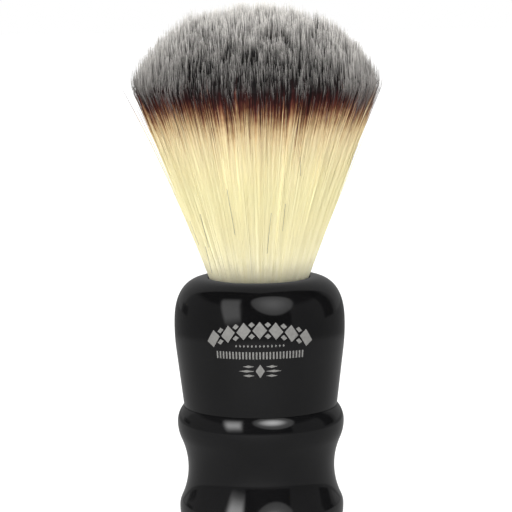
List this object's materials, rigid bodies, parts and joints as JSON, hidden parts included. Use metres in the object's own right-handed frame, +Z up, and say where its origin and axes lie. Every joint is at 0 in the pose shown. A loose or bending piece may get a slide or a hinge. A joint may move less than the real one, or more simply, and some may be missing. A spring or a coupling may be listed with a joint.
{
  "type": "shaving brush",
  "caption": "Shaving brush: a flared domed knot of synthetic filaments in a weighted black turned handle with a rounded shoulder, a bead, a waist and a flared foot.",
  "frame": {"origin": "centre of the face the brush stands on", "axes": "+Z up along the handle's turning axis towards the knot's dome; the handle's printed ornament faces -Y"},
  "size_m": [0.0538, 0.0538, 0.1169],
  "materials": {
    "handle_black": "gloss",
    "steel": "satin",
    "brass": "satin",
    "cover_black": "satin",
    "pad_rubber": "matte",
    "adhesive": "satin",
    "cup_plastic": "satin",
    "filament": "satin",
    "print_ink": "satin"
  },
  "bodies": {
    "handle": {"barrel_shell": "handle_black", "grip_shell": "handle_black", "counterweight": "steel", "screw_washer": "steel", "tie_screw": "steel", "threaded_insert": "brass", "base_cover": "cover_black", "foot_pad": "pad_rubber", "socket_bedding": "adhesive", "knot_cup": "cup_plastic", "knot_plug": "adhesive", "filament_root": "filament"},
    "bristles": {"filament_fan": "filament"}
  },
  "joints": [
    {"name": "knot_bend", "type": "hinge", "parent": "handle", "child": "bristles", "pos_m": [0, 0, 0.0574], "axis": [0, 1, 0], "range_deg": [-25, 25], "stiffness_Nm_per_rad": 0.15}
  ]
}
